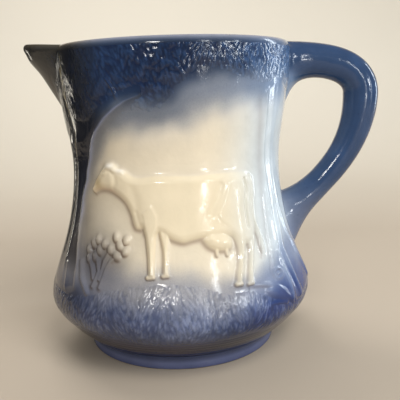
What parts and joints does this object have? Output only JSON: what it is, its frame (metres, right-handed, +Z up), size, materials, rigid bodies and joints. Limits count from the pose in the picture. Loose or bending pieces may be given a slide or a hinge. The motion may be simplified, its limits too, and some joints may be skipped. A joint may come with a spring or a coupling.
{
  "type": "milk pitcher",
  "caption": "Round-bellied glazed stoneware pitcher with a beak spout, a loop handle, a foot ring and a cow, trees, flowers and grass in relief on both sides.",
  "frame": {"origin": "centre of the foot ring's underside, on the surface that the jug stands on", "axes": "+Z up along the jug's axis, +X towards the handle, -X towards the spout, -Y towards the near side with its cow"},
  "size_m": [0.2133, 0.1618, 0.1825],
  "materials": {
    "wall_glaze": "glossy clear glaze over sprayed cobalt that fades to cream",
    "inside_glaze": "glossy cream glaze",
    "foot_glaze": "glossy slate-blue glaze, bare clay at the standing edge",
    "blue_glaze": "glossy cobalt glaze",
    "leaf_glaze": "glossy cobalt glaze over leaf relief",
    "grass_glaze": "glossy grey-blue glaze over grass relief",
    "cream_glaze": "glossy cream glaze, grey where it pools",
    "tree_glaze": "glossy blue-grey glaze over bark relief"
  },
  "bodies": {
    "root": {"body_wall": "wall_glaze", "base_floor": "inside_glaze", "foot_ring": "foot_glaze", "lip": "blue_glaze", "spout": "blue_glaze", "handle": "blue_glaze", "leaf_canopy_near": "leaf_glaze", "leaf_canopy_far": "leaf_glaze", "grass_bank_near": "grass_glaze", "grass_bank_far": "grass_glaze", "cow_near": "cream_glaze", "cow_far": "cream_glaze", "spout_tree_near": "tree_glaze", "spout_tree_far": "tree_glaze", "handle_tree_near": "tree_glaze", "handle_tree_far": "tree_glaze", "flowers_near": "cream_glaze", "flowers_far": "cream_glaze"}
  },
  "joints": []
}
